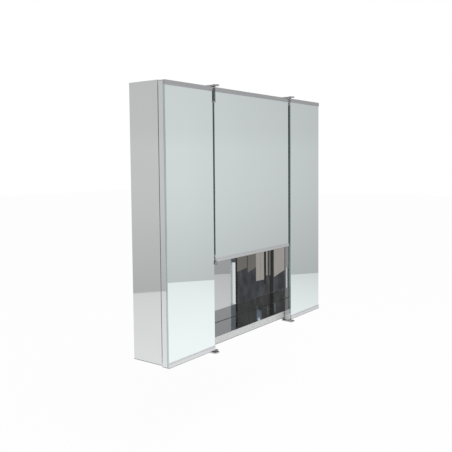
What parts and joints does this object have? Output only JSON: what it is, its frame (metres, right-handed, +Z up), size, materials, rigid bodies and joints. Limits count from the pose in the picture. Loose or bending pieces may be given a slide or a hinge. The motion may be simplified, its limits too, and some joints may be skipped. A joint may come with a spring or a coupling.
{
  "type": "medicine cabinet",
  "caption": "Shallow wall-hung cabinet with framed mirror doors on corner pivots and an open niche below the shorter middle door; glass shelves inside.",
  "frame": {"origin": "middle of the wall-screw pattern, on the outside of the back panel", "axes": "+X to the right along the wall, +Y into the wall, +Z up; the doors face -Y"},
  "size_m": [0.704, 0.125, 0.6538],
  "materials": {
    "case_steel": "satin stainless sheet",
    "polished_steel": "polished stainless sheet",
    "door_aluminium": "natural anodised, satin",
    "mirror_glass": "silvered float glass, faint green tint",
    "shelf_glass": "clear float glass",
    "cover_steel": "satin sheet",
    "hinge_steel": "plain steel, slightly dull",
    "bright_steel": "bright zinc",
    "black_plastic": "matte black moulding",
    "bumper_rubber": "matte black rubber"
  },
  "bodies": {
    "case": {"case_left_side": "case_steel", "case_right_side": "case_steel", "case_top": "case_steel", "case_bottom": "case_steel", "back_panel": "polished_steel", "left_partition": "polished_steel", "right_partition": "polished_steel", "niche_ceiling": "polished_steel", "niche_floor": "polished_steel", "front_rail": "case_steel", "left_lower_shelf": "shelf_glass", "left_upper_shelf": "shelf_glass", "middle_shelf": "shelf_glass", "right_lower_shelf": "shelf_glass", "right_upper_shelf": "shelf_glass", "shelf_studs": "bright_steel", "top_left_hinge_plate": "hinge_steel", "top_right_hinge_plate": "hinge_steel", "bottom_left_hinge_plate": "hinge_steel", "bottom_right_hinge_plate": "hinge_steel", "middle_pivot_bracket": "hinge_steel", "top_left_pin": "hinge_steel", "top_right_pin": "hinge_steel", "bottom_left_pin": "hinge_steel", "bottom_right_pin": "hinge_steel", "middle_pivot_pin": "hinge_steel", "hinge_spacers": "black_plastic", "hinge_screws": "bright_steel", "magnetic_catches": "black_plastic", "door_bumpers": "bumper_rubber"},
    "left_door": {"left_mirror": "mirror_glass", "left_top_rail": "door_aluminium", "left_bottom_rail": "door_aluminium", "left_outer_stile": "door_aluminium", "left_inner_stile": "door_aluminium", "left_back_cover": "cover_steel", "left_top_arm": "hinge_steel", "left_bottom_arm": "hinge_steel", "left_arm_screws": "bright_steel", "left_strike": "bright_steel"},
    "middle_door": {"middle_mirror": "mirror_glass", "middle_top_rail": "door_aluminium", "middle_bottom_rail": "door_aluminium", "middle_hinge_stile": "door_aluminium", "middle_free_stile": "door_aluminium", "middle_back_cover": "cover_steel", "middle_top_arm": "hinge_steel", "middle_bottom_arm": "hinge_steel", "middle_arm_screws": "bright_steel", "middle_strike": "bright_steel"},
    "right_door": {"right_mirror": "mirror_glass", "right_top_rail": "door_aluminium", "right_bottom_rail": "door_aluminium", "right_outer_stile": "door_aluminium", "right_inner_stile": "door_aluminium", "right_back_cover": "cover_steel", "right_top_arm": "hinge_steel", "right_bottom_arm": "hinge_steel", "right_arm_screws": "bright_steel", "right_strike": "bright_steel"}
  },
  "joints": [
    {"name": "left_door_hinge", "type": "hinge", "parent": "case", "child": "left_door", "pos_m": [-0.1775, -0.1115, 0], "axis": [0, 0, 1], "range_deg": [0, 90]},
    {"name": "middle_door_hinge", "type": "hinge", "parent": "case", "child": "middle_door", "pos_m": [-0.1775, -0.1115, 0], "axis": [0, 0, -1], "range_deg": [0, 90]},
    {"name": "right_door_hinge", "type": "hinge", "parent": "case", "child": "right_door", "pos_m": [0.1775, -0.1115, 0], "axis": [0, 0, -1], "range_deg": [0, 90]}
  ]
}
